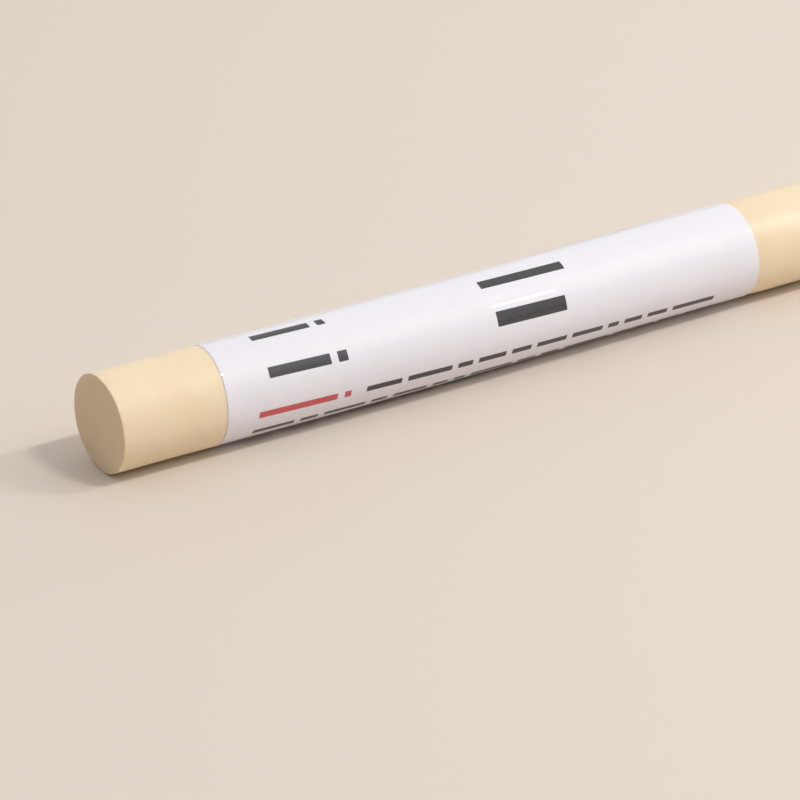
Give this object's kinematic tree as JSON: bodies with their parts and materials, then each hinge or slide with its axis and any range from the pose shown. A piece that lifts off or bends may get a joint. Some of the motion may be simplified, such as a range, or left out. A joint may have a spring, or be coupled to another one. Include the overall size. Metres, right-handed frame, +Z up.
{
  "type": "furniture repair wax stick",
  "caption": "Round stick of cream furniture repair wax, cut square at both ends, with a white gloss self-adhesive label wrapped round its middle and lapped at the back.",
  "frame": {"origin": "on the surface that the stick lies on, below the middle of its length", "axes": "+X along the stick from the near end to the far end, +Y to the back, where the label is lapped, +Z up"},
  "size_m": [0.095, 0.0112, 0.0111],
  "materials": {
    "wax": "satin",
    "adhesive": "satin",
    "label_paper": "satin",
    "label_film": "gloss"
  },
  "bodies": {
    "root": {"wax_stick": "wax", "label_adhesive": "adhesive", "label_paper": "label_paper", "label_film": "label_film"}
  },
  "joints": []
}
